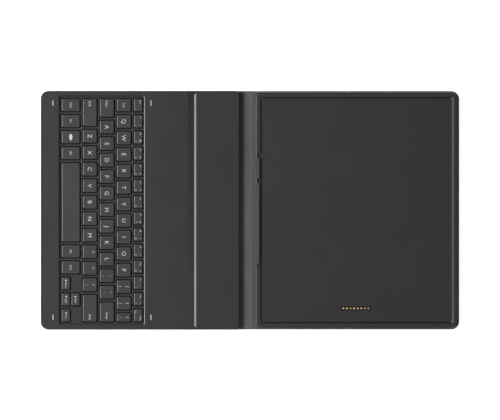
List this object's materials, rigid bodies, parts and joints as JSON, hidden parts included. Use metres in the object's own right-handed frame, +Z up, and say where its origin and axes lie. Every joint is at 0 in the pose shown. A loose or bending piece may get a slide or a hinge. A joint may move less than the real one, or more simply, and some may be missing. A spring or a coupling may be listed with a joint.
{
  "type": "tablet keyboard case",
  "caption": "Folio case lying open: slim keyboard deck with a stand groove, soft spine, and a folding back cover with a shallow tray that holds a tablet.",
  "frame": {"origin": "middle of the underside of the case lying open and flat", "axes": "+X to the typist's right, +Y away from the typist towards the tray, +Z up out of the table"},
  "size_m": [0.2384, 0.418, 0.0069],
  "materials": {
    "outer_skin": "matt soft-touch synthetic leather with a fine grain",
    "woven_liner": "fine woven fabric, matt",
    "deck_plastic": "soft-touch moulded plastic, matt",
    "tray_plastic": "moulded plastic, matt with a fine texture",
    "keycap_plastic": "moulded key cap, satin matt",
    "contact_plastic": "moulded plastic, matt",
    "stiffener_board": "glass-fibre sheet",
    "support_plate": "stamped sheet",
    "groove_strip": "satin",
    "magnet": "plated bar",
    "dome_rubber": "translucent silicone",
    "circuit_board": "solder mask",
    "ribbon_film": "polyimide film",
    "bumper_rubber": "pale silicone",
    "contact_gold": "gold plated"
  },
  "bodies": {
    "keyboard_deck": {"deck_skin": "outer_skin", "deck_top_shell": "deck_plastic", "deck_base_plate": "stiffener_board", "deck_ribbon": "ribbon_film", "key_support_plate": "support_plate", "dome_sheet": "dome_rubber", "controller_board": "circuit_board", "groove_strip": "groove_strip", "groove_magnet": "magnet", "closing_magnet": "magnet", "bumper_front_left": "bumper_rubber", "bumper_front_right": "bumper_rubber", "bumper_rear_left": "bumper_rubber", "bumper_rear_right": "bumper_rubber"},
    "spine": {"spine_skin": "outer_skin", "spine_stiffener": "stiffener_board", "spine_ribbon": "ribbon_film", "spine_liner": "woven_liner"},
    "cover_band": {"hinge_band": "outer_skin"},
    "lower_back": {"lower_back_skin": "outer_skin", "lower_back_board": "stiffener_board", "lower_back_ribbon": "ribbon_film"},
    "tray_back": {"upper_back_skin": "outer_skin", "upper_back_board": "stiffener_board", "upper_back_ribbon": "ribbon_film", "tray_shell": "tray_plastic", "tray_magnet": "magnet", "contact_housing": "contact_plastic"},
    "contact_pins": {"contact_pins": "contact_gold"},
    "key_ctrl_left": {"key_ctrl_left": "keycap_plastic"},
    "key_fn": {"key_fn": "keycap_plastic"},
    "key_menu": {"key_menu": "keycap_plastic"},
    "key_alt_left": {"key_alt_left": "keycap_plastic"},
    "key_space": {"key_space": "keycap_plastic"},
    "key_alt_right": {"key_alt_right": "keycap_plastic"},
    "key_ctrl_right": {"key_ctrl_right": "keycap_plastic"},
    "key_left": {"key_left": "keycap_plastic"},
    "key_down": {"key_down": "keycap_plastic"},
    "key_up": {"key_up": "keycap_plastic"},
    "key_right": {"key_right": "keycap_plastic"},
    "key_shift_left": {"key_shift_left": "keycap_plastic"},
    "keys_z_x_c": {"keys_z_x_c": "keycap_plastic"},
    "keys_v_b": {"keys_v_b": "keycap_plastic"},
    "keys_n_m_comma": {"keys_n_m_comma": "keycap_plastic"},
    "keys_period_slash": {"keys_period_slash": "keycap_plastic"},
    "key_shift_right": {"key_shift_right": "keycap_plastic"},
    "key_caps_lock": {"key_caps_lock": "keycap_plastic"},
    "keys_a_s_d": {"keys_a_s_d": "keycap_plastic"},
    "keys_f_g_h": {"keys_f_g_h": "keycap_plastic"},
    "keys_j_k_l": {"keys_j_k_l": "keycap_plastic"},
    "keys_semicolon_quote": {"keys_semicolon_quote": "keycap_plastic"},
    "key_enter": {"key_enter": "keycap_plastic"},
    "key_tab": {"key_tab": "keycap_plastic"},
    "keys_q_w_e": {"keys_q_w_e": "keycap_plastic"},
    "keys_r_t_y": {"keys_r_t_y": "keycap_plastic"},
    "keys_u_i_o": {"keys_u_i_o": "keycap_plastic"},
    "keys_p_brackets": {"keys_p_brackets": "keycap_plastic"},
    "key_backslash": {"key_backslash": "keycap_plastic"},
    "keys_number_left": {"keys_number_left": "keycap_plastic"},
    "keys_number_right": {"keys_number_right": "keycap_plastic"}
  },
  "joints": [
    {"name": "case_spine_fold", "type": "hinge", "parent": "keyboard_deck", "child": "spine", "pos_m": [0, -0.01, 0.0009], "axis": [-1, 0, 0], "range_deg": [-90, 0]},
    {"name": "case_cover_fold", "type": "hinge", "parent": "cover_band", "child": "lower_back", "pos_m": [0, 0.0044, 0.0009], "axis": [1, 0, 0], "range_deg": [0, 90]},
    {"name": "case_stand_fold", "type": "hinge", "parent": "lower_back", "child": "tray_back", "pos_m": [0, 0.098, 0], "axis": [-1, 0, 0], "range_deg": [0, 38.2]},
    {"name": "case_band_lean", "type": "hinge", "parent": "spine", "child": "cover_band", "pos_m": [0, 0.0019, 0.0009], "axis": [1, 0, 0], "range_deg": [0, 18.15]},
    {"name": "contact_press", "type": "slide", "parent": "tray_back", "child": "contact_pins", "axis": [0, 0, 1], "range_m": [-0.0005, 0], "stiffness_N_per_m": 2000, "springref_m": 0.0003},
    {"name": "key_ctrl_left_press", "type": "slide", "parent": "keyboard_deck", "child": "key_ctrl_left", "axis": [0, 0, 1], "range_m": [-0.0012, 0], "stiffness_N_per_m": 400, "springref_m": 0.0004},
    {"name": "key_fn_press", "type": "slide", "parent": "keyboard_deck", "child": "key_fn", "axis": [0, 0, 1], "range_m": [-0.0012, 0], "stiffness_N_per_m": 400, "springref_m": 0.0004},
    {"name": "key_menu_press", "type": "slide", "parent": "keyboard_deck", "child": "key_menu", "axis": [0, 0, 1], "range_m": [-0.0012, 0], "stiffness_N_per_m": 400, "springref_m": 0.0004},
    {"name": "key_alt_left_press", "type": "slide", "parent": "keyboard_deck", "child": "key_alt_left", "axis": [0, 0, 1], "range_m": [-0.0012, 0], "stiffness_N_per_m": 400, "springref_m": 0.0004},
    {"name": "key_space_press", "type": "slide", "parent": "keyboard_deck", "child": "key_space", "axis": [0, 0, 1], "range_m": [-0.0012, 0], "stiffness_N_per_m": 400, "springref_m": 0.0004, "deforming": ["dome_sheet"]},
    {"name": "key_alt_right_press", "type": "slide", "parent": "keyboard_deck", "child": "key_alt_right", "axis": [0, 0, 1], "range_m": [-0.0012, 0], "stiffness_N_per_m": 400, "springref_m": 0.0004},
    {"name": "key_ctrl_right_press", "type": "slide", "parent": "keyboard_deck", "child": "key_ctrl_right", "axis": [0, 0, 1], "range_m": [-0.0012, 0], "stiffness_N_per_m": 400, "springref_m": 0.0004},
    {"name": "key_left_press", "type": "slide", "parent": "keyboard_deck", "child": "key_left", "axis": [0, 0, 1], "range_m": [-0.0012, 0], "stiffness_N_per_m": 400, "springref_m": 0.0004},
    {"name": "key_down_press", "type": "slide", "parent": "keyboard_deck", "child": "key_down", "axis": [0, 0, 1], "range_m": [-0.0012, 0], "stiffness_N_per_m": 400, "springref_m": 0.0004},
    {"name": "key_up_press", "type": "slide", "parent": "keyboard_deck", "child": "key_up", "axis": [0, 0, 1], "range_m": [-0.0012, 0], "stiffness_N_per_m": 400, "springref_m": 0.0004},
    {"name": "key_right_press", "type": "slide", "parent": "keyboard_deck", "child": "key_right", "axis": [0, 0, 1], "range_m": [-0.0012, 0], "stiffness_N_per_m": 400, "springref_m": 0.0004},
    {"name": "key_shift_left_press", "type": "slide", "parent": "keyboard_deck", "child": "key_shift_left", "axis": [0, 0, 1], "range_m": [-0.0012, 0], "stiffness_N_per_m": 400, "springref_m": 0.0004},
    {"name": "keys_z_x_c_press", "type": "slide", "parent": "keyboard_deck", "child": "keys_z_x_c", "axis": [0, 0, 1], "range_m": [-0.0012, 0], "stiffness_N_per_m": 1200, "springref_m": 0.0004},
    {"name": "keys_v_b_press", "type": "slide", "parent": "keyboard_deck", "child": "keys_v_b", "axis": [0, 0, 1], "range_m": [-0.0012, 0], "stiffness_N_per_m": 800, "springref_m": 0.0004},
    {"name": "keys_n_m_comma_press", "type": "slide", "parent": "keyboard_deck", "child": "keys_n_m_comma", "axis": [0, 0, 1], "range_m": [-0.0012, 0], "stiffness_N_per_m": 1200, "springref_m": 0.0004},
    {"name": "keys_period_slash_press", "type": "slide", "parent": "keyboard_deck", "child": "keys_period_slash", "axis": [0, 0, 1], "range_m": [-0.0012, 0], "stiffness_N_per_m": 800, "springref_m": 0.0004},
    {"name": "key_shift_right_press", "type": "slide", "parent": "keyboard_deck", "child": "key_shift_right", "axis": [0, 0, 1], "range_m": [-0.0012, 0], "stiffness_N_per_m": 400, "springref_m": 0.0004},
    {"name": "key_caps_lock_press", "type": "slide", "parent": "keyboard_deck", "child": "key_caps_lock", "axis": [0, 0, 1], "range_m": [-0.0012, 0], "stiffness_N_per_m": 400, "springref_m": 0.0004},
    {"name": "keys_a_s_d_press", "type": "slide", "parent": "keyboard_deck", "child": "keys_a_s_d", "axis": [0, 0, 1], "range_m": [-0.0012, 0], "stiffness_N_per_m": 1200, "springref_m": 0.0004},
    {"name": "keys_f_g_h_press", "type": "slide", "parent": "keyboard_deck", "child": "keys_f_g_h", "axis": [0, 0, 1], "range_m": [-0.0012, 0], "stiffness_N_per_m": 1200, "springref_m": 0.0004},
    {"name": "keys_j_k_l_press", "type": "slide", "parent": "keyboard_deck", "child": "keys_j_k_l", "axis": [0, 0, 1], "range_m": [-0.0012, 0], "stiffness_N_per_m": 1200, "springref_m": 0.0004},
    {"name": "keys_semicolon_quote_press", "type": "slide", "parent": "keyboard_deck", "child": "keys_semicolon_quote", "axis": [0, 0, 1], "range_m": [-0.0012, 0], "stiffness_N_per_m": 800, "springref_m": 0.0004},
    {"name": "key_enter_press", "type": "slide", "parent": "keyboard_deck", "child": "key_enter", "axis": [0, 0, 1], "range_m": [-0.0012, 0], "stiffness_N_per_m": 400, "springref_m": 0.0004},
    {"name": "key_tab_press", "type": "slide", "parent": "keyboard_deck", "child": "key_tab", "axis": [0, 0, 1], "range_m": [-0.0012, 0], "stiffness_N_per_m": 400, "springref_m": 0.0004},
    {"name": "keys_q_w_e_press", "type": "slide", "parent": "keyboard_deck", "child": "keys_q_w_e", "axis": [0, 0, 1], "range_m": [-0.0012, 0], "stiffness_N_per_m": 1200, "springref_m": 0.0004},
    {"name": "keys_r_t_y_press", "type": "slide", "parent": "keyboard_deck", "child": "keys_r_t_y", "axis": [0, 0, 1], "range_m": [-0.0012, 0], "stiffness_N_per_m": 1200, "springref_m": 0.0004},
    {"name": "keys_u_i_o_press", "type": "slide", "parent": "keyboard_deck", "child": "keys_u_i_o", "axis": [0, 0, 1], "range_m": [-0.0012, 0], "stiffness_N_per_m": 1200, "springref_m": 0.0004},
    {"name": "keys_p_brackets_press", "type": "slide", "parent": "keyboard_deck", "child": "keys_p_brackets", "axis": [0, 0, 1], "range_m": [-0.0012, 0], "stiffness_N_per_m": 1200, "springref_m": 0.0004},
    {"name": "key_backslash_press", "type": "slide", "parent": "keyboard_deck", "child": "key_backslash", "axis": [0, 0, 1], "range_m": [-0.0012, 0], "stiffness_N_per_m": 400, "springref_m": 0.0004},
    {"name": "keys_number_left_press", "type": "slide", "parent": "keyboard_deck", "child": "keys_number_left", "axis": [0, 0, 1], "range_m": [-0.0012, 0], "stiffness_N_per_m": 2800, "springref_m": 0.0004},
    {"name": "keys_number_right_press", "type": "slide", "parent": "keyboard_deck", "child": "keys_number_right", "axis": [0, 0, 1], "range_m": [-0.0012, 0], "stiffness_N_per_m": 2800, "springref_m": 0.0004}
  ]
}
